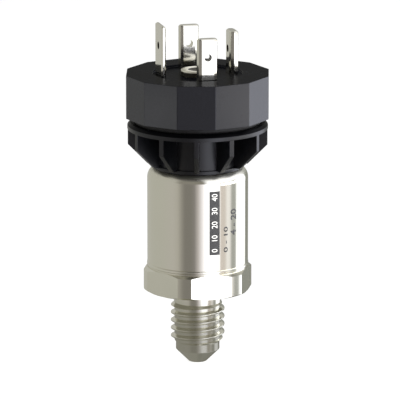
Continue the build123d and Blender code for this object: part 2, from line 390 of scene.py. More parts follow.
# Turned or drawn metal: rings left by the tool, faint cloudiness, a few fine scuffs.
# It is darkened by painted shade in a zone given, and rougher above a height
def turnedSteel(name, s):
    material = bpy.data.materials.new(name)
    shader = Shader(material)
    place, x, y, z = shaderPlace(shader)
    radius = (x * x + y * y).root()
    pitch = s["ringsPerMetre"]
    across = shader.node("ShaderNodeCombineXYZ", {}, radius * pitch, z * pitch, 0.0)
    rings = noise(shader, across, 1.0, detail=3.0, rough=0.6)
    clouds = noise(shader, place, s["cloudScale"], detail=3.0, rough=0.55)
    scuffs = noise(shader, place, s["scuffScale"], detail=4.0, rough=0.7)
    base = cloudyTone(shader, clouds, s["colour"], s["colourDeep"])
    # Painted shade: a darker colour in the zone given
    if "paintedShadeZone" in s:
        base = shader.mixed(s["paintedShadeZone"](radius, z), base, s["paintedShadeColour"])
    roughness = s["roughness"] + swing(rings, s["ringRoughness"]) + swing(clouds, s["cloudRoughness"])
    roughness = roughness + shader.between(scuffs, scuffLow, scuffHigh) * s["scuffRoughness"]
    if "roughAbove" in s:
        roughness = roughness + shader.between(z, s["roughAbove"], s["roughFull"], 0.0, s["roughMore"])
    metalSurface(shader, base, roughness, rings, s["ringBump"])
    return material


# Flat stamped metal, with fine draw lines along its length
def stampedMetal(name, s):
    material = bpy.data.materials.new(name)
    shader = Shader(material)
    place, x, y, z = shaderPlace(shader)
    pitch = s["linesPerMetre"]
    drawn = shader.node("ShaderNodeCombineXYZ", {}, x * pitch, y * pitch, z * s["alongPerMetre"])
    lines = noise(shader, drawn, 1.0, detail=3.0, rough=0.6)
    clouds = noise(shader, place, s["cloudScale"], detail=3.0, rough=0.55)
    base = cloudyTone(shader, clouds, s["colour"], s["colourDeep"])
    # Painted shade: a darker colour in the zone given
    if "holeShadeZone" in s:
        base = shader.mixed(s["holeShadeZone"](x, y, z), base, s["holeShadeColour"])
    roughness = s["roughness"] + swing(lines, s["lineRoughness"]) + swing(clouds, s["cloudRoughness"])
    metalSurface(shader, base, roughness, lines, s["lineBump"])
    return material


# Moulded plastic, rubber, ceramic or laminate: fine grain, cloudy gloss.
# In a zone given it takes painted shade: a darker copy that shines less, for faces that stay dark when
# seen at a low angle
def moulded(name, s):
    material = bpy.data.materials.new(name)
    shader = Shader(material)
    place, x, y, z = shaderPlace(shader)
    grain = noise(shader, place, s["grainScale"], detail=4.0, rough=0.6)
    clouds = noise(shader, place, s["cloudScale"], detail=2.0, rough=0.5)
    roughness = s["roughness"] + swing(clouds, s["cloudRoughness"]) + swing(grain, s["grainRoughness"])
    bump = shader.node("ShaderNodeBump", {}, Strength=s["grainBump"], Distance=plasticBump, Height=grain)

    def plastic(colour, colourDeep, ior):
        base = cloudyTone(shader, clouds, colour, colourDeep)
        return shader.node(
            "ShaderNodeBsdfPrincipled", {}, Base_Color=base, Roughness=roughness, IOR=ior, Normal=bump,
        )

    surface = plastic(s["colour"], s["colourDeep"], s["ior"])
    if "shadedZone" in s:
        # Painted shade: a darker copy of the plastic with a low IOR
        shadedPlastic = plastic(s["shadedColour"], s["shadedColourDeep"], s["shadedIor"])
        surface = shader.node("ShaderNodeMixShader", {}, s["shadedZone"](x, y, z), surface, shadedPlastic)
    shader.node("ShaderNodeOutputMaterial", {}, surface)
    return material


# Where painted shade starts on the materials, as radii and heights
zones = {
    "boreRadius": 2.25,
    "wallRadius": 3.9,
    "wallTop": 70.8,
    "holeRadius": 0.89,
    "holeHeight": 75.76,
    "earthHoleHeight": 77.26,
    "flangeTopShade": 57.9,
    "capTopShade": 70.28,
    "recessFloor": (69.7, 69.8),
    "recessRadius": 10.677,
}


# Painted shade: the insert is darkened in its bore, and on its wall where it stands in the recess
def insertShade(radius, z):
    bore = radius < zones["boreRadius"] * mm
    wall = (z < zones["wallTop"] * mm) * (radius > zones["wallRadius"] * mm)
    return bore + wall


# Painted shade: the walls of the blades' holes are darkened, all but the one at the back
def bladeHoleShade(x, y, z):
    reach = (zones["holeRadius"] * mm) ** 2
    up = z - zones["holeHeight"] * mm
    upEarth = z - zones["earthHoleHeight"] * mm
    front = (x * x + up * up < reach) * (y < 0)
    right = (y * y + up * up < reach) * (x > 0)
    earth = (y * y + upEarth * upEarth < reach) * (x < 0)
    return front + right + earth


# Painted shade: the flange is darker and shines less above its rim
def flangeTopShade(x, y, z):
    return z > zones["flangeTopShade"] * mm


# Painted shade: the cap is darker and shines less on its top and on the floor of its recess
def capTopShade(x, y, z):
    low, high = zones["recessFloor"]
    top = z > zones["capTopShade"] * mm
    floor = (z > low * mm) * (z < high * mm)
    return top + floor * (x * x + y * y < (zones["recessRadius"] * mm) ** 2)


fittingSteel = turnedSteel("fittingSteel", {
    "colour": (0.77, 0.755, 0.66),
    "colourDeep": (0.75, 0.735, 0.64),
    "roughness": 0.15,
    "ringsPerMetre": 9000,
    "ringRoughness": 0.10,
    "ringBump": 0.05,
    "cloudScale": 180,
    "cloudRoughness": 0.06,
    "scuffScale": 1400,
    "scuffRoughness": 0.05,
})
canSteel = turnedSteel("canSteel", {
    "colour": (0.77, 0.755, 0.66),
    "colourDeep": (0.76, 0.745, 0.65),
    "roughness": 0.10,
    "ringsPerMetre": 6000,
    "ringRoughness": 0.04,
    "ringBump": 0.02,
    "cloudScale": 120,
    "cloudRoughness": 0.03,
    "scuffScale": 1200,
    "scuffRoughness": 0.03,
    "roughAbove": 46.2 * mm,
    "roughFull": 47.2 * mm,
    "roughMore": 0.30,
})
insertMetal = turnedSteel("insertMetal", {
    "colour": (0.79, 0.77, 0.68),
    "colourDeep": (0.76, 0.745, 0.65),
    "roughness": 0.42,
    # Painted shade in the bore and on the wall in the recess
    "paintedShadeZone": insertShade,
    "paintedShadeColour": (0.10, 0.095, 0.08),
    "ringsPerMetre": 12000,
    "ringRoughness": 0.10,
    "ringBump": 0.08,
    "cloudScale": 300,
    "cloudRoughness": 0.05,
    "scuffScale": 2500,
    "scuffRoughness": 0.05,
})
bladeMetal = stampedMetal("bladeMetal", {
    # Painted shade on the walls of the holes
    "holeShadeZone": bladeHoleShade,
    "holeShadeColour": (0.06, 0.058, 0.05),
    "colour": (0.79, 0.775, 0.69),
    "colourDeep": (0.77, 0.755, 0.665),
    "roughness": 0.12,
    "linesPerMetre": 14000,
    "alongPerMetre": 300,
    "lineRoughness": 0.08,
    "lineBump": 0.04,
    "cloudScale": 260,
    "cloudRoughness": 0.05,
})
blackMoulding = moulded("blackMoulding", {
    "colour": (0.009, 0.0095, 0.012),
    "colourDeep": (0.007, 0.0075, 0.010),
    # Painted shade on the flange top
    "shadedColour": (0.004, 0.004, 0.005),
    "shadedColourDeep": (0.003, 0.003, 0.004),
    "shadedIor": 1.1,
    "shadedZone": flangeTopShade,
    "roughness": 0.32,
    "grainScale": 9000,
    "grainRoughness": 0.08,
    "grainBump": 0.10,
    "cloudScale": 160,
    "cloudRoughness": 0.08,
    "ior": 1.45,
})
blackCap = moulded("blackCap", {
    "colour": (0.0205, 0.0220, 0.0300),
    "colourDeep": (0.0185, 0.0200, 0.0270),
    # Painted shade on the top and the recess floor
    "shadedColour": (0.0105, 0.0112, 0.0160),
    "shadedColourDeep": (0.0095, 0.0102, 0.0140),
    "shadedIor": 1.04,
    "shadedZone": capTopShade,
    "roughness": 0.28,
    "grainScale": 9000,
    "grainRoughness": 0.05,
    "grainBump": 0.05,
    "cloudScale": 120,
    "cloudRoughness": 0.05,
    "ior": 1.45,
})
sealRubber = moulded("sealRubber", {
    "colour": (0.012, 0.012, 0.012),
    "colourDeep": (0.018, 0.018, 0.018),
    "roughness": 0.65,
    "grainScale": 7000,
    "grainRoughness": 0.15,
    "grainBump": 0.25,
    "cloudScale": 300,
    "cloudRoughness": 0.10,
    "ior": 1.5,
})
laserInk = moulded("laserInk", {
    "colour": (0.34, 0.34, 0.35),
    "colourDeep": (0.30, 0.30, 0.31),
    "roughness": 0.55,
    "grainScale": 12000,
    "grainRoughness": 0.10,
    "grainBump": 0.05,
    "cloudScale": 900,
    "cloudRoughness": 0.10,
    "ior": 1.25,
})
print("main materials made")


# Process fitting: bored stem, screwed thread and hexagon.
# Profiles, here and below, are points of radius and height
fitting = {
    "sides": 160,
    "tip": ((1.5, 0.15), (1.65, 0), (2.1, 0), (2.2, 0.04)),
    "flareEnd": ((5.16, 2.98), (5.22, 3.08)),
    "noseRadius": 5.22,
    "noseTop": 4.9,
    "coreRadius": 5.55,
    "crestRadius": 6.43,
    "crestFlat": 0.24,
    "crestEdge": 0.035,
    "crestMargin": 0.02,
    "pitch": 1.91,
    "flank": 30.0,
    "threadStart": 3.47,
    "threadTop": 14.7,
    "threadTurns": 7,
    "threadSteps": 120,
    "ridgeSink": 0.15,
    "neckRadius": 5.65,
    "hexLow": 17.75,
    "hexHigh": 23.55,
    "hexSink": 0.5,
    "hexTurn": 32.0,
    "acrossFlats": 24.0,
    "landRadius": 13.0,
    "chamferRise": 0.53,
    "chamferRadius": 12.08,
    "turningSides": 240,
    "innerRadius": 5.0,
    "grooveRadius": 11.9,
    "collar": ((11.9, 23.9), (11.93, 23.9), (12.08, 24.05), (12.08, 24.5), (11.93, 24.65)),
    "cup": ((11.15, 24.65), (11.15, 33.8), (10.95, 34.0), (9.46, 34.0), (9.26, 33.8)),
    "pocket": ((9.26, 23.4), (7.66, 23.4), (7.66, 21.55), (5.26, 21.55), (5.26, 23.4), (1.5, 23.4)),
    "smoothAngle": 17,
}


def makeThread(f):
    startClean()
    depth = f["crestRadius"] - f["coreRadius"]
    halfCrest = f["crestFlat"] / 2
    halfFoot = halfCrest + (depth + f["ridgeSink"]) * math.tan(math.radians(f["flank"]))
    middle = f["coreRadius"] + (depth - f["ridgeSink"]) / 2
    bpy.ops.mesh.primitive_plane_add(
        size=1, location=(middle * mm, 0, f["threadStart"] * mm), rotation=(math.radians(90), 0, 0),
    )
    ridge = bpy.context.object
    ridge.name = "threadRidge"
    ridge.scale = ((depth + f["ridgeSink"]) * mm, 2 * halfFoot * mm, 1)
    settle(ridge)
    editMode()
    crest = f["crestRadius"] * mm
    pick(lambda place, way: place.x > middle * mm and abs(way.z) > alongAxis, edges=True)
    bpy.ops.transform.resize(
        value=(1, 1, halfCrest / halfFoot), center_override=(crest, 0, f["threadStart"] * mm),
    )
    bpy.ops.mesh.bevel(offset=f["crestEdge"] * mm, affect="VERTICES", segments=1)
    selectAll()
    bpy.ops.mesh.delete(type="ONLY_FACE")
    objectMode()
    useModifier(
        ridge, "SCREW", axis="Z", angle=math.radians(360), screw_offset=f["pitch"] * mm,
        iterations=f["threadTurns"], steps=f["threadSteps"], render_steps=f["threadSteps"],
        use_merge_vertices=False,
    )
    editMode()
    closeUp()
    objectMode()
    outer = f["crestRadius"] + f["crestMargin"]
    envelope = turnRing("threadEnvelope", (
        (f["innerRadius"], f["noseTop"]),
        (f["noseRadius"], f["noseTop"]),
        (outer, f["noseTop"] + outer - f["noseRadius"]),
        (outer, f["threadTop"] - outer + f["coreRadius"]),
        (f["coreRadius"], f["threadTop"]),
        (f["innerRadius"], f["threadTop"]),
    ), f["sides"])
    combine(ridge, envelope, "INTERSECT")
    return ridge


def makeHexagon(f):
    corner = f["acrossFlats"] / 2 / math.cos(math.radians(30))
    hexagon = addRod("hexagon", corner, f["hexLow"], f["hexHigh"], 6, math.radians(f["hexTurn"]))
    turning = turnRing("hexTurning", (
        (f["innerRadius"], f["hexLow"]),
        (f["chamferRadius"], f["hexLow"]),
        (f["landRadius"], f["hexLow"] + f["chamferRise"]),
        (f["landRadius"], f["hexHigh"] - f["chamferRise"]),
        (f["chamferRadius"], f["hexHigh"]),
        (f["innerRadius"], f["hexHigh"]),
    ), f["turningSides"])
    combine(hexagon, turning, "INTERSECT")
    return hexagon


def makeFitting(f):
    stem = turnRing("processFittingTurned", (
        *f["tip"],
        *f["flareEnd"],
        (f["noseRadius"], f["noseTop"]),
        (f["coreRadius"], f["noseTop"] + f["coreRadius"] - f["noseRadius"]),
        (f["coreRadius"], f["threadTop"]),
        (f["neckRadius"], f["threadTop"]),
        (f["neckRadius"], f["hexLow"] + f["hexSink"]),
        (f["neckRadius"], f["hexHigh"] - f["hexSink"]),
        (f["grooveRadius"], f["hexHigh"] - f["hexSink"]),
        *f["collar"],
        *f["cup"],
        *f["pocket"],
    ), f["sides"])
    combine(stem, makeHexagon(f), "UNION")
    combine(stem, makeThread(f), "UNION")
    weldSlivers(stem)
    shadeSmooth(stem, f["smoothAngle"])
    return stem


fittingPiece = makeFitting(fitting)
hand(fittingPiece, fittingSteel, "fitting_steel", "process_fitting")
print("process fitting turned,", len(fittingPiece.data.polygons), "faces")


# Housing can: drawn wall with a rolled shoulder
can = {
    "sides": 200,
    "radius": 12.0,
    "wall": 0.8,
    "low": 24.65,
    "shoulderStart": 45.1,
    "shoulderRadius": 2.9,
    "lipRadius": 10.41,
    "arcSteps": 14,
    "edge": 0.08,
    "lipEdge": 0.06,
    "smoothAngle": 30,
}


# The shoulder's arc from the wall up to the lip, for the outer or the inner radius
def shoulderArc(c, radius):
    centre = c["radius"] - c["shoulderRadius"]
    end = math.acos((c["lipRadius"] + c["edge"] - centre) / radius)
    steps = c["arcSteps"]
    return [
        (
            centre + radius * math.cos(end * step / steps),
            c["shoulderStart"] + radius * math.sin(end * step / steps),
        )
        for step in range(steps + 1)
    ]


def makeCan(c):
    outer = shoulderArc(c, c["shoulderRadius"])
    inner = shoulderArc(c, c["shoulderRadius"] - c["wall"])[::-1]
    return turnRing("housingCanDrawn", (
        (c["radius"] - c["edge"], c["low"]),
        (c["radius"], c["low"] + c["edge"]),
        *outer,
        (c["lipRadius"], outer[-1][1] - c["edge"]),
        (c["lipRadius"], inner[0][1] + c["lipEdge"]),
        *inner,
        (c["radius"] - c["wall"], c["low"]),
    ), c["sides"])


canPiece = makeCan(can)
shadeSmooth(canPiece, can["smoothAngle"], weighted=False)
hand(canPiece, canSteel, "can_steel", "housing_can")
print("can drawn")


# Connector body: barrel, foot ring, twelve ribs and the flange
connector = {
    "sides": 160,
    "bore": 8.46,
    "barrel": 10.31,
    "skirt": (
        (8.46, 41.5), (10.96, 41.5), (10.96, 42.1), (9.26, 42.1), (9.26, 44.1), (10.96, 44.1),
        (10.96, 44.8), (10.31, 44.8),
    ),
    "footRing": ((10.31, 47.81), (10.86, 47.81), (10.86, 48.66), (10.31, 48.66)),
    "flangeLow": 56.95,
    "flange": ((16.68, 56.95), (16.68, 57.85), (16.0, 58.63)),
    "latchRing": (
        (12.9, 58.63), (12.9, 61.58), (13.15, 61.7), (13.15, 62.1), (12.9, 62.28), (12.9, 62.93),
        (11.5, 62.93), (11.5, 58.63),
    ),
    "boreTop": 58.63,
    "edge": 0.1,
    "ribCount": 12,
    "ribTurn": 15,
    "ribThickness": 1.2,
    "ribLow": 48.35,
    "ribFoot": 11.86,
    "ribReach": 16.56,
    "ribKink": 53.70,
    "ribSink": 0.45,
    "ribEdge": 0.12,
    "webLow": 52.0,
    "webHigh": 53.5,
    "webSink": 0.4,
    "webSides": 96,
    "ventRadius": 0.8,
    "leadCount": 4,
    "leadCircle": 7.86,
    "leadHole": 0.5,
    "leadSides": 24,
    "cutPast": 1,
    "smoothAngle": 38,
}


def makeRibs(c):
    inner = (c["barrel"] + c["bore"]) / 2
    high = c["flangeLow"] + c["ribSink"]
    middle = ((inner + c["ribReach"]) / 2, 0, (c["ribLow"] + high) / 2)
    rib = addBlock("rib", (c["ribReach"] - inner, c["ribThickness"], high - c["ribLow"]), middle)
    editMode()
    selectAll()
    rise = c["ribKink"] - c["ribLow"]
    run = c["ribReach"] - c["ribFoot"]
    bpy.ops.mesh.bisect(
        plane_co=(c["ribFoot"] * mm, 0, c["ribLow"] * mm), plane_no=(rise, 0, -run),
        use_fill=True, clear_outer=True,
    )
    objectMode()
    soften(rib, c["ribEdge"])
    turns = [c["ribTurn"] + 360 / c["ribCount"] * index for index in range(c["ribCount"])]
    ribs = [copyTurned(rib, math.radians(turn)) for turn in turns]
    bpy.data.objects.remove(rib)
    return joinPieces("ribs", ribs)


# The web closes the bore, with the vent in its middle and a hole for each blade's lead
def addWeb(body, c):
    reach = c["bore"] + c["webSink"]
    web = turnRing("ventWeb", (
        (c["ventRadius"], c["webLow"]),
        (reach, c["webLow"]),
        (reach, c["webHigh"]),
        (c["ventRadius"], c["webHigh"]),
    ), c["webSides"])
    combine(body, web, "UNION")
    for index in range(c["leadCount"]):
        low, high = c["webLow"] - c["cutPast"], c["webHigh"] + c["cutPast"]
        hole = addRod("leadHole", c["leadHole"], low, high, c["leadSides"])
        turn = math.radians(360 / c["leadCount"] * index)
        hole.location = Vector((math.cos(turn), math.sin(turn), 0)) * c["leadCircle"] * mm
        settle(hole)
        combine(body, hole, "DIFFERENCE")


def makeConnector(c):
    body = turnRing("connectorBodyMoulded", (
        *c["skirt"],
        *c["footRing"],
        (c["barrel"], c["flangeLow"]),
        *c["flange"],
        *c["latchRing"],
        (c["bore"], c["boreTop"]),
    ), c["sides"])
    soften(body, c["edge"])
    addWeb(body, c)
    combine(body, makeRibs(c), "UNION")
    weldSlivers(body)
    shadeSmooth(body, c["smoothAngle"])
    return body


connectorPiece = makeConnector(connector)
hand(connectorPiece, blackMoulding, "black_moulding", "connector_body")
print("connector body moulded,", len(connectorPiece.data.polygons), "faces")


# Twelve-sided cap, with a round recess, the blades' slots and the latch cavity
cap = {
    "sides": 12,
    "cornerRadius": 17.4,
    "low": 59.93,
    "high": 70.31,
    "cornerEdge": 0.14,
    "rimEdge": 0.1,
    "recessRadius": 10.7,
    "recessDepth": 0.55,
    "recessFillet": 0.08,
    "recessCore": 0.5,
    "recessSides": 192,
    "mouthFlare": 0.12,
    "mouthDrop": 0.07,
    "mouthRise": 0.05,
    "cavityRadius": 13.0,
    "cavitySides": 128,
    "latchGroove": ((13.0, 61.48), (13.25, 61.6), (13.25, 62.26), (13.0, 62.38)),
    "ceiling": 65.53,
    "hubRadius": 6.2,
    "hubMargin": 0.3,
    "hubLow": 63.13,
    "hubBore": 4.06,
    "slotClearance": 0.05,
    "cutPast": 1,
    "smoothAngle": 25,
}
# A section is the corners of one quarter, as half thickness and half width
plugBlade = {
    "section": ((1.1, 1.46), (0.85, 2.15), (0.1, 2.45)),
    "shoulder": 6.0,
    "top": 80.16,
    "holeDrop": 4.4,
}
earthBlade = {
    "section": ((0.55, 2.95), (0.2, 3.3)),
    "shoulder": 7.8,
    "top": 82.26,
    "holeDrop": 5.0,
}
bladeFacts = {
    "tipBevel": 0.3,
    "holeRadius": 0.88,
    "holeSides": 40,
    "holeCut": 4,
    "edge": 0.045,
    "edgeAngle": 25,
    "shoulderLow": 64.03,
    "shoulderHeight": 1.5,
    "tailWidth": 1.6,
    "tailLow": 61.03,
    "tailSink": 0.3,
    "footHeight": 0.8,
    "footReach": 6.96,
    "smoothAngle": 13,
    "blades": {
        "blade_1": {**plugBlade, "radius": 9.0, "angle": -90},
        "blade_2": {**plugBlade, "radius": 9.0, "angle": 90},
        "blade_3": {**plugBlade, "radius": 8.4, "angle": 0},
        "blade_earth": {**earthBlade, "radius": 9.0, "angle": 180},
    },
}


# A flat with sloping flanks on each side; grow makes it larger all round, for a slot
def bladeShaft(name, section, radius, low, high, grow=0.0):
    corners = [(half + grow, reach + grow) for half, reach in section]
    half, reach = corners[0]
    shaft = addBlock(name, (2 * half, 2 * reach, high - low), (radius, 0, (low + high) / 2))
    editMode()
    for side in (1, -1):
        pick(lambda place, normal: normal.y * side > alongAxis)
        lastHalf, lastReach = half, reach
        for nextHalf, nextReach in corners[1:]:
            move = (0, side * (nextReach - lastReach) * mm, 0)
            bpy.ops.mesh.extrude_region_move(TRANSFORM_OT_translate={"value": move})
            bpy.ops.transform.resize(
                value=(nextHalf / lastHalf, 1, 1), center_override=(radius * mm, 0, 0),
            )
            lastHalf, lastReach = nextHalf, nextReach
    objectMode()
    return shaft


def makeCap(c, b):
    low, high = c["low"] - c["cutPast"], c["high"] + c["cutPast"]
    shell = addRod("plugCapMoulded", c["cornerRadius"], c["low"], c["high"], c["sides"])
    editMode()
    pick(lambda place, way: abs(way.z) > alongAxis, edges=True)
    bpy.ops.mesh.bevel(offset=c["cornerEdge"] * mm, segments=2, affect="EDGES")
    pick(lambda place, normal: abs(normal.z) > alongAxis)
    bpy.ops.mesh.region_to_loop()
    bpy.ops.mesh.bevel(offset=c["rimEdge"] * mm, segments=2, affect="EDGES")
    objectMode()
    floor = c["high"] - c["recessDepth"]
    wall = c["recessRadius"]
    recess = turnRing("recessCutter", (
        (c["recessCore"], floor),
        (wall - c["recessFillet"], floor),
        (wall, floor + c["recessFillet"]),
        (wall, c["high"] - c["mouthDrop"]),
        (wall + c["mouthFlare"], c["high"] + c["mouthRise"]),
        (wall + c["mouthFlare"], high),
        (c["recessCore"], high),
    ), c["recessSides"])
    combine(shell, recess, "DIFFERENCE")
    cavity = turnRing("cavityCutter", (
        (c["hubRadius"], low),
        (c["cavityRadius"], low),
        *c["latchGroove"],
        (c["cavityRadius"], c["ceiling"]),
        (c["hubRadius"], c["ceiling"]),
    ), c["cavitySides"])
    combine(shell, cavity, "DIFFERENCE")
    below = addRod("hubBelow", c["hubRadius"] + c["hubMargin"], low, c["hubLow"], c["cavitySides"])
    combine(shell, below, "DIFFERENCE")
    bore = addRod("insertBore", c["hubBore"], low, high, c["cavitySides"])
    combine(shell, bore, "DIFFERENCE")
    for facts in b["blades"].values():
        slot = bladeShaft("bladeSlot", facts["section"], facts["radius"], low, high, c["slotClearance"])
        slot.rotation_euler = (0, 0, math.radians(facts["angle"]))
        settle(slot)
        combine(shell, slot, "DIFFERENCE")
    weldSlivers(shell)
    shadeSmooth(shell, c["smoothAngle"])
    return shell


capPiece = makeCap(cap, bladeFacts)
hand(capPiece, blackCap, "black_cap", "contact_carrier")
print("cap moulded,", len(capPiece.data.polygons), "faces")


# Four contact blades, each with a chamfered tip, a cross hole and a bent tail inside
def makeBlade(name, b, facts):
    radius = facts["radius"]
    low = b["shoulderLow"]
    half, reach = facts["section"][0][0], facts["section"][-1][1]
    blade = bladeShaft(name, facts["section"], radius, low, facts["top"] - b["tipBevel"])
    editMode()
    pick(lambda place, normal: normal.z > alongAxis)
    bpy.ops.mesh.extrude_region_move(TRANSFORM_OT_translate={"value": (0, 0, b["tipBevel"] * mm)})
    tipSize = (1 - b["tipBevel"] / half, 1 - b["tipBevel"] / reach, 1)
    bpy.ops.transform.resize(value=tipSize, center_override=(radius * mm, 0, 0))
    objectMode()
    startClean()
    bpy.ops.mesh.primitive_cylinder_add(
        vertices=b["holeSides"], radius=b["holeRadius"] * mm, depth=b["holeCut"] * mm,
        location=(radius * mm, 0, (facts["top"] - facts["holeDrop"]) * mm),
        rotation=(0, math.radians(90), 0),
    )
    hole = bpy.context.object
    settle(hole)
    combine(blade, hole, "DIFFERENCE")
    shoulderMiddle = (radius, 0, low + b["shoulderHeight"] / 2)
    shoulder = addBlock("shoulder", (2 * half, facts["shoulder"], b["shoulderHeight"]), shoulderMiddle)
    combine(blade, shoulder, "UNION")
    tailHeight = low - b["tailLow"] + b["tailSink"]
    tailMiddle = (radius, 0, b["tailLow"] + tailHeight / 2)
    tail = addBlock("tail", (2 * half, b["tailWidth"], tailHeight), tailMiddle)
    combine(blade, tail, "UNION")
    outer = radius + half
    footMiddle = ((outer + b["footReach"]) / 2, 0, b["tailLow"] + b["footHeight"] / 2)
    foot = addBlock("foot", (outer - b["footReach"], b["tailWidth"], b["footHeight"]), footMiddle)
    combine(blade, foot, "UNION")
    soften(blade, b["edge"], b["edgeAngle"])
    blade.rotation_euler = (0, 0, math.radians(facts["angle"]))
    settle(blade)
    shadeSmooth(blade, b["smoothAngle"])
    return blade


for node, facts in bladeFacts["blades"].items():
    piece = makeBlade(node + "_stamped", bladeFacts, facts)
    hand(piece, bladeMetal, "blade_metal", node)
print("blades stamped")


# Centre insert, with rings in its bore for a fine thread
insert = {
    "sides": 96,
    "radius": 4.04,
    "low": 63.21,
    "high": 71.11,
    "edge": 0.35,
    "edgeRound": 0.3,
    "footEdge": 0.15,
    "mouth": 2.3,
    "hole": 1.25,
    "holeDepth": 7.0,
    "threadRings": 11,
    "threadPitch": 0.5,
    "threadDepth": 0.16,
    "pole": 0.02,
    "smoothAngle": 30,
}


def makeInsert(i):
    top = i["high"]
    profile = [
        (i["radius"], i["low"] + i["footEdge"]),
        (i["radius"], top - i["edge"]),
        (i["radius"] - i["edge"] * i["edgeRound"], top - i["edge"] * i["edgeRound"]),
        (i["radius"] - i["edge"], top),
        (i["mouth"], top),
    ]
    height = top - (i["mouth"] - i["hole"])
    profile.append((i["hole"], height))
    for index in range(i["threadRings"]):
        height -= i["threadPitch"] / 2
        profile.append((i["hole"] + i["threadDepth"], height))
        height -= i["threadPitch"] / 2
        profile.append((i["hole"], height))
    profile += [
        (i["hole"], top - i["holeDepth"]),
        (i["pole"], top - i["holeDepth"]),
        (i["pole"], i["low"]),
        (i["radius"] - i["footEdge"], i["low"]),
    ]
    piece = turnRing("centreInsertTurned", profile, i["sides"])
    shadeSmooth(piece, i["smoothAngle"])
    return piece


hand(makeInsert(insert), insertMetal, "insert_metal", "centre_insert")

# Flat gasket with a slightly bulged rim
gasket = {
    "sides": 160,
    "profile": (
        (13.0, 58.63), (15.05, 58.63), (15.17, 58.8), (15.2, 59.28), (15.17, 59.76), (15.05, 59.93),
        (13.0, 59.93),
    ),
    "smoothAngle": 40,
}
gasketPiece = turnRing("flatGasket", gasket["profile"], gasket["sides"])
shadeSmooth(gasketPiece, gasket["smoothAngle"])
hand(gasketPiece, sealRubber, "seal_rubber", "carrier_gasket")
print("insert and gasket made")


# Laser marking on the can: a dark field with plain numbers left bare in it, and two rows of dark numbers.
# Each reads up the can and is centred on an angle
marking = {
    "cut": 0.35,
    "cuts": 5,
    "weld": 0.002,
    "thickness": 0.014,
    "standOff": 0.5,
    "field": {"angle": -84.5, "low": 28.6, "high": 44.0, "tall": 2.72, "lift": 0.008},
    "rows": {
        "bareNumbers": {
            "words": "0   10   20   30   40", "weight": 0.0,
            "angle": -84.5, "low": 29.3, "high": 43.4, "tall": 1.45, "lift": 0.016,
        },
        "smallNumbers": {
            "words": "0 - 10", "weight": 0.02,
            "angle": -70.4, "low": 29.0, "high": 35.2, "tall": 1.2, "lift": 0.008,
        },
        "largeNumbers": {
            "words": "4 - 20", "weight": 0.025,
            "angle": -59.2, "low": 32.8, "high": 39.2, "tall": 1.9, "lift": 0.008,
        },
    },
}


def addWords(name, row):
    startClean()
    bpy.ops.object.text_add()
    bpy.context.object.data.body = row["words"]
    bpy.context.object.data.offset = row["weight"]
    bpy.ops.object.convert(target="MESH")
    piece = bpy.context.object
    piece.name = name
    xs = [v.co.x for v in piece.data.vertices]
    ys = [v.co.y for v in piece.data.vertices]
    sizeX = (row["high"] - row["low"]) * mm / (max(xs) - min(xs))
    sizeY = row["tall"] * mm / (max(ys) - min(ys))
    piece.scale = (sizeX, sizeY, 1)
    piece.location = (-(max(xs) + min(xs)) / 2 * sizeX, -(max(ys) + min(ys)) / 2 * sizeY, 0)
    settle(piece)
    return piece


# Cuts a flat piece in lanes, stands it before the can and lays it on the wall
def layOnCan(piece, m, row):
    takeUp(piece)
    editMode()
    bpy.ops.mesh.select_mode(type="VERT")
    for index in range(-m["cuts"], m["cuts"] + 1):
        selectAll()
        bpy.ops.mesh.bisect(plane_co=(0, index * m["cut"] * mm, 0), plane_no=(0, 1, 0))
    selectAll()
    bpy.ops.mesh.remove_doubles(threshold=m["weld"] * mm)
    objectMode()
    turn = math.radians(row["angle"])
    outward = Vector((math.cos(turn), math.sin(turn), 0))
    across = Vector((math.sin(turn), -math.cos(turn), 0))
    up = Vector((0, 0, 1))
    place = outward * (can["radius"] + m["standOff"]) + up * (row["low"] + row["high"]) / 2
    stand = Matrix((up, across, outward)).transposed().to_4x4()
    piece.matrix_world = Matrix.Translation(place * mm) @ stand
    settle(piece)
    useModifier(
        piece, "SHRINKWRAP", target=canPiece, wrap_method="NEAREST_SURFACEPOINT",
        wrap_mode="ABOVE_SURFACE", offset=row["lift"] * mm,
    )
    useModifier(piece, "SOLIDIFY", thickness=m["thickness"] * mm, offset=-1)


def addField(field):
    startClean()
    bpy.ops.mesh.primitive_plane_add(size=1)
    piece = bpy.context.object
    piece.name = "markingField"
    piece.scale = ((field["high"] - field["low"]) * mm, field["tall"] * mm, 1)
    settle(piece)
    return piece


fieldPiece = addField(marking["field"])
layOnCan(fieldPiece, marking, marking["field"])
hand(fieldPiece, laserInk, "can_steel")
for name, row in marking["rows"].items():
    piece = addWords(name, row)
    layOnCan(piece, marking, row)
    hand(piece, canSteel if name == "bareNumbers" else laserInk, "can_steel")
print("marking laid on the can")


# The pieces inside keep the CAD's shapes and only get materials
cellCeramic = moulded("cellCeramic", {
    "colour": (0.86, 0.85, 0.81),
    "colourDeep": (0.80, 0.79, 0.74),
    "roughness": 0.55,
    "grainScale": 8000,
    "grainRoughness": 0.10,
    "grainBump": 0.08,
    "cloudScale": 220,
    "cloudRoughness": 0.06,
    "ior": 1.55,
})
carrierPlastic = moulded("carrierPlastic", {
    "colour": (0.75, 0.74, 0.70),
    "colourDeep": (0.69, 0.68, 0.64),
    "roughness": 0.48,
    "grainScale": 7000,
    "grainRoughness": 0.12,
    "grainBump": 0.12,
    "cloudScale": 180,
    "cloudRoughness": 0.08,
    "ior": 1.5,
})
boardLaminate = moulded("boardLaminate", {
    "colour": (0.03, 0.19, 0.08),
    "colourDeep": (0.02, 0.13, 0.055),
    "roughness": 0.32,
    "grainScale": 5000,
    "grainRoughness": 0.08,
    "grainBump": 0.10,
    "cloudScale": 700,
    "cloudRoughness": 0.06,
    "ior": 1.5,
})
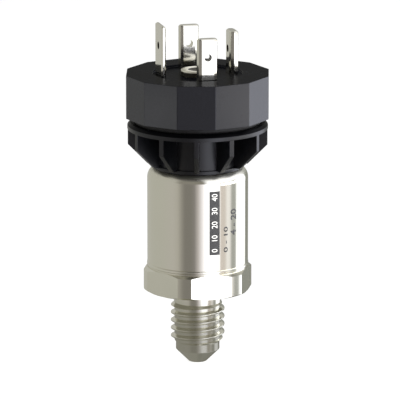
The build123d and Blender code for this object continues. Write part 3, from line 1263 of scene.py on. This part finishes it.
chipPlastic = moulded("chipPlastic", {
    "colour": (0.03, 0.03, 0.035),
    "colourDeep": (0.022, 0.022, 0.026),
    "roughness": 0.45,
    "grainScale": 12000,
    "grainRoughness": 0.14,
    "grainBump": 0.20,
    "cloudScale": 600,
    "cloudRoughness": 0.08,
    "ior": 1.5,
})
capacitorBody = moulded("capacitorBody", {
    "colour": (0.50, 0.38, 0.22),
    "colourDeep": (0.42, 0.31, 0.17),
    "roughness": 0.5,
    "grainScale": 12000,
    "grainRoughness": 0.10,
    "grainBump": 0.10,
    "cloudScale": 900,
    "cloudRoughness": 0.08,
    "ior": 1.5,
})
ventMembrane = moulded("ventMembrane", {
    "colour": (0.88, 0.88, 0.88),
    "colourDeep": (0.80, 0.80, 0.80),
    "roughness": 0.75,
    "grainScale": 15000,
    "grainRoughness": 0.15,
    "grainBump": 0.35,
    "cloudScale": 900,
    "cloudRoughness": 0.05,
    "ior": 1.4,
})
ringSteel = turnedSteel("ringSteel", {
    "colour": (0.70, 0.69, 0.66),
    "colourDeep": (0.64, 0.63, 0.60),
    "roughness": 0.26,
    "ringsPerMetre": 9000,
    "ringRoughness": 0.12,
    "ringBump": 0.08,
    "cloudScale": 250,
    "cloudRoughness": 0.06,
    "scuffScale": 1800,
    "scuffRoughness": 0.06,
})
leadMetal = stampedMetal("leadMetal", {
    "colour": (0.80, 0.78, 0.74),
    "colourDeep": (0.73, 0.71, 0.67),
    "roughness": 0.24,
    "linesPerMetre": 16000,
    "alongPerMetre": 400,
    "lineRoughness": 0.10,
    "lineBump": 0.05,
    "cloudScale": 900,
    "cloudRoughness": 0.08,
})
inside = {
    "cell_seal": sealRubber,
    "body_seal": sealRubber,
    "ceramic_cell": cellCeramic,
    "cell_ring": ringSteel,
    "cell_pins": leadMetal,
    "earth_spring": leadMetal,
    "blade_leads": leadMetal,
    "board_carrier": carrierPlastic,
    "thrust_ring": carrierPlastic,
    "circuit_board": boardLaminate,
    "signal_chip": chipPlastic,
    "regulator": chipPlastic,
    "surge_diode": chipPlastic,
    "resistors": chipPlastic,
    "capacitors": capacitorBody,
    "vent_disc": ventMembrane,
}
for name, material in inside.items():
    nodes[name].material_slots[0].material = material
print("inner pieces given materials")


# Studio: a plain floor and backdrop, a surrounding that only shines in gloss, two soft lamps, two cards.
# The walls are screen tones round the part, in degrees from the camera, as the steel gives them back
studio = {
    "floorRadius": 1.0,
    "fillLevel": 0.18,
    "lamps": {"left": (-62, 1.1), "right": (95, 1.7)},
    "lampSize": 0.35,
    "lampDistance": 0.6,
    "lampTarget": 45 * mm,
    "lampElevation": 8,
    "cardDistance": 95 * mm,
    "cards": {
        "left": {"angle": -62, "width": 50 * mm, "low": 38 * mm, "high": 54 * mm, "power": 0.0035},
        "right": {"angle": 75, "width": 85 * mm, "low": 35 * mm, "high": 61 * mm, "power": 0.0175},
    },
    "shineStrength": 5.0,
    "steel": (0.77, 0.755, 0.66),
    "wall": (
        (-180, (160, 158, 144), 1), (-170, (172, 170, 155), 1), (-90, (172, 170, 155), 1),
        (-58, (174, 170, 157), 1), (-46, (168, 164, 150), 1), (-36, (140, 136, 124), 1),
        (-29, (122, 118, 108), 1), (-15, (122, 118, 108), 1), (-7, (131, 126, 118), 1),
        (2, (187, 180, 172), 1), (12, (248, 243, 239), 1), (17, (255, 254, 250), 1.2),
        (24, (255, 254, 250), 1.8), (44, (255, 254, 250), 1.8), (50, (255, 254, 250), 1.3),
        (54, (205, 195, 182), 1), (65, (207, 198, 185), 1), (72, (236, 232, 222), 1),
        (79, (230, 226, 216), 1), (85, (165, 165, 155), 1), (96, (166, 166, 156), 1),
        (106, (255, 255, 252), 1.8), (130, (255, 255, 252), 1.8), (142, (135, 135, 122), 1),
        (170, (135, 135, 122), 1), (180, (150, 148, 135), 1),
    ),
    "overhead": (
        (-180, (178, 176, 162), 1), (-142, (178, 176, 162), 1), (-125, (172, 170, 155), 1),
        (-58, (172, 169, 155), 1), (-42, (130, 126, 114), 1), (14, (130, 126, 114), 1),
        (26, (255, 254, 250), 1.2), (130, (255, 254, 250), 1.2), (142, (178, 176, 162), 1),
        (180, (178, 176, 162), 1),
    ),
    "zenith": (
        (-180, (105, 103, 92), 1), (-142, (105, 103, 92), 1), (-125, (150, 147, 133), 1),
        (-62, (140, 137, 124), 1), (-46, (80, 79, 73), 1), (12, (80, 79, 73), 1),
        (26, (235, 233, 224), 1), (125, (235, 233, 224), 1), (142, (105, 103, 92), 1),
        (180, (105, 103, 92), 1),
    ),
    "overheadFrom": (0.20, 0.34),
    "zenithFrom": (0.62, 0.80),
    "floorSides": 96,
    "floorGrey": (0.8, 0.8, 0.8),
    "floorGlow": 0.82,
    # Painted shadow round the part, seen only in gloss: its tone, and where it fades
    "floorShadowTone": (115, 113, 101),
    "floorShadowFull": 45 * mm,
    "floorShadowEnd": 75 * mm,
    "floorShadowShare": 0.8,
    "white": (1, 1, 1),
}


def shineLevel(s, colour, times=1.0):
    return tuple(c * times / base / s["shineStrength"] for c, base in zip(fromScreen(*colour), s["steel"]))


# The camera sees white, gloss sees the three rings of tones, and the rest is lit by an even fill
def makeWorld(s):
    world = bpy.data.worlds.new("studio")
    bpy.context.scene.world = world
    shader = Shader(world)
    way = shader.node("ShaderNodeTexCoord", {}, output="Generated")
    dot = {"operation": "DOT_PRODUCT"}
    side = shader.node("ShaderNodeVectorMath", dot, way, tuple(rightward), output="Value")
    front = shader.node("ShaderNodeVectorMath", dot, way, tuple(towards), output="Value")
    up = shader.node("ShaderNodeVectorMath", dot, way, (0, 0, 1), output="Value")
    turn = side.make("ARCTAN2", side, front) / (2 * math.pi) + 0.5
    rings = []
    for name in ("wall", "overhead", "zenith"):
        stops = [((angle + 180) / 360, shineLevel(s, colour, times)) for angle, colour, times in s[name]]
        rings.append(shader.node("ShaderNodeValToRGB", {"stops": stops}, turn))
    around = shader.mixed(shader.between(up, *s["overheadFrom"]), rings[0], rings[1])
    around = shader.mixed(shader.between(up, *s["zenithFrom"]), around, rings[2])
    shine = shader.node("ShaderNodeBackground", {}, around, s["shineStrength"])
    fill = shader.node("ShaderNodeBackground", {}, s["white"], s["fillLevel"])
    white = shader.node("ShaderNodeBackground", {}, s["white"], 1.0)
    cameraRay = shader.node("ShaderNodeLightPath", {}, output="Is Camera Ray")
    lit = shader.node("ShaderNodeMixShader", {}, cameraRay.part("Is Glossy Ray"), fill, shine)
    seen = shader.node("ShaderNodeMixShader", {}, cameraRay, lit, white)
    shader.node("ShaderNodeOutputWorld", {}, seen)


# The floor glows white for the camera and keeps the part's shadow. Gloss sees a painted shadow on it, a
# grey glowing patch that fades outwards, and from below it is clear
def makeFloor(s):
    startClean()
    bpy.ops.mesh.primitive_circle_add(
        vertices=s["floorSides"], radius=s["floorRadius"], fill_type="NGON", location=(0, 0, 0),
    )
    floor = bpy.context.object
    floor.name = "studioFloor"
    material = bpy.data.materials.new("paleFloor")
    shader = Shader(material)
    diffuse = shader.node("ShaderNodeBsdfDiffuse", {}, s["floorGrey"])
    glow = shader.node("ShaderNodeEmission", {}, s["white"], s["floorGlow"])
    cameraRay = shader.node("ShaderNodeLightPath", {}, output="Is Camera Ray")
    both = shader.node("ShaderNodeAddShader", {}, diffuse, glow)
    seen = shader.node("ShaderNodeMixShader", {}, cameraRay, diffuse, both)
    place, x, y, z = shaderPlace(shader)
    away = (x * x + y * y).root()
    near = shader.between(away, s["floorShadowFull"], s["floorShadowEnd"], s["floorShadowShare"], 0.0)
    clear = shader.node("ShaderNodeBsdfTransparent", {}, s["white"])
    # Painted shadow: a grey glow round the part, seen only in gloss
    shadowPatch = shader.node("ShaderNodeEmission", {}, shineLevel(s, s["floorShadowTone"]), s["shineStrength"])
    mirrored = shader.node("ShaderNodeMixShader", {}, near, clear, shadowPatch)
    above = shader.node("ShaderNodeMixShader", {}, cameraRay.part("Is Glossy Ray"), seen, mirrored)
    fromBelow = shader.node("ShaderNodeNewGeometry", {}, output="Backfacing")
    surface = shader.node("ShaderNodeMixShader", {}, fromBelow, above, clear)
    shader.node("ShaderNodeOutputMaterial", {}, surface)
    floor.data.materials.append(material)


# A soft light that faces the part from an angle round it, at a distance from the target
def addLight(name, angle, elevation, distance, target):
    turn = math.radians(angle)
    lift = math.radians(elevation)
    way = (towards * math.cos(turn) + rightward * math.sin(turn)) * math.cos(lift)
    way = way + Vector((0, 0, math.sin(lift)))
    bpy.ops.object.light_add(type="AREA", location=Vector((0, 0, target)) + way * distance)
    light = bpy.context.object
    light.name = name
    light.rotation_euler = (-way).to_track_quat("-Z", "Y").to_euler()
    return light


def addLamps(s):
    for name, (angle, power) in s["lamps"].items():
        lamp = addLight(name + "Lamp", angle, s["lampElevation"], s["lampDistance"], s["lampTarget"])
        lamp.data.energy = power
        lamp.data.size = s["lampSize"]
        lamp.visible_glossy = False


# White cards beside the part. The left one lights only the cap, and the right one stands too high for
# the can's wall to show it
def addCards(s):
    capOnly = bpy.data.collections.new("capOnly")
    capOnly.objects.link(capPiece)
    for name, c in s["cards"].items():
        card = addLight(name + "Card", c["angle"], 0, s["cardDistance"], (c["low"] + c["high"]) / 2)
        card.data.shape = "RECTANGLE"
        card.data.size = c["width"]
        card.data.size_y = c["high"] - c["low"]
        card.data.energy = c["power"]
        card.visible_camera = False
        card.visible_diffuse = False
        if name == "left":
            card.light_linking.receiver_collection = capOnly


makeWorld(studio)
makeFloor(studio)
addLamps(studio)
addCards(studio)
bpy.context.scene.view_settings.view_transform = "Standard"
print("studio set up")
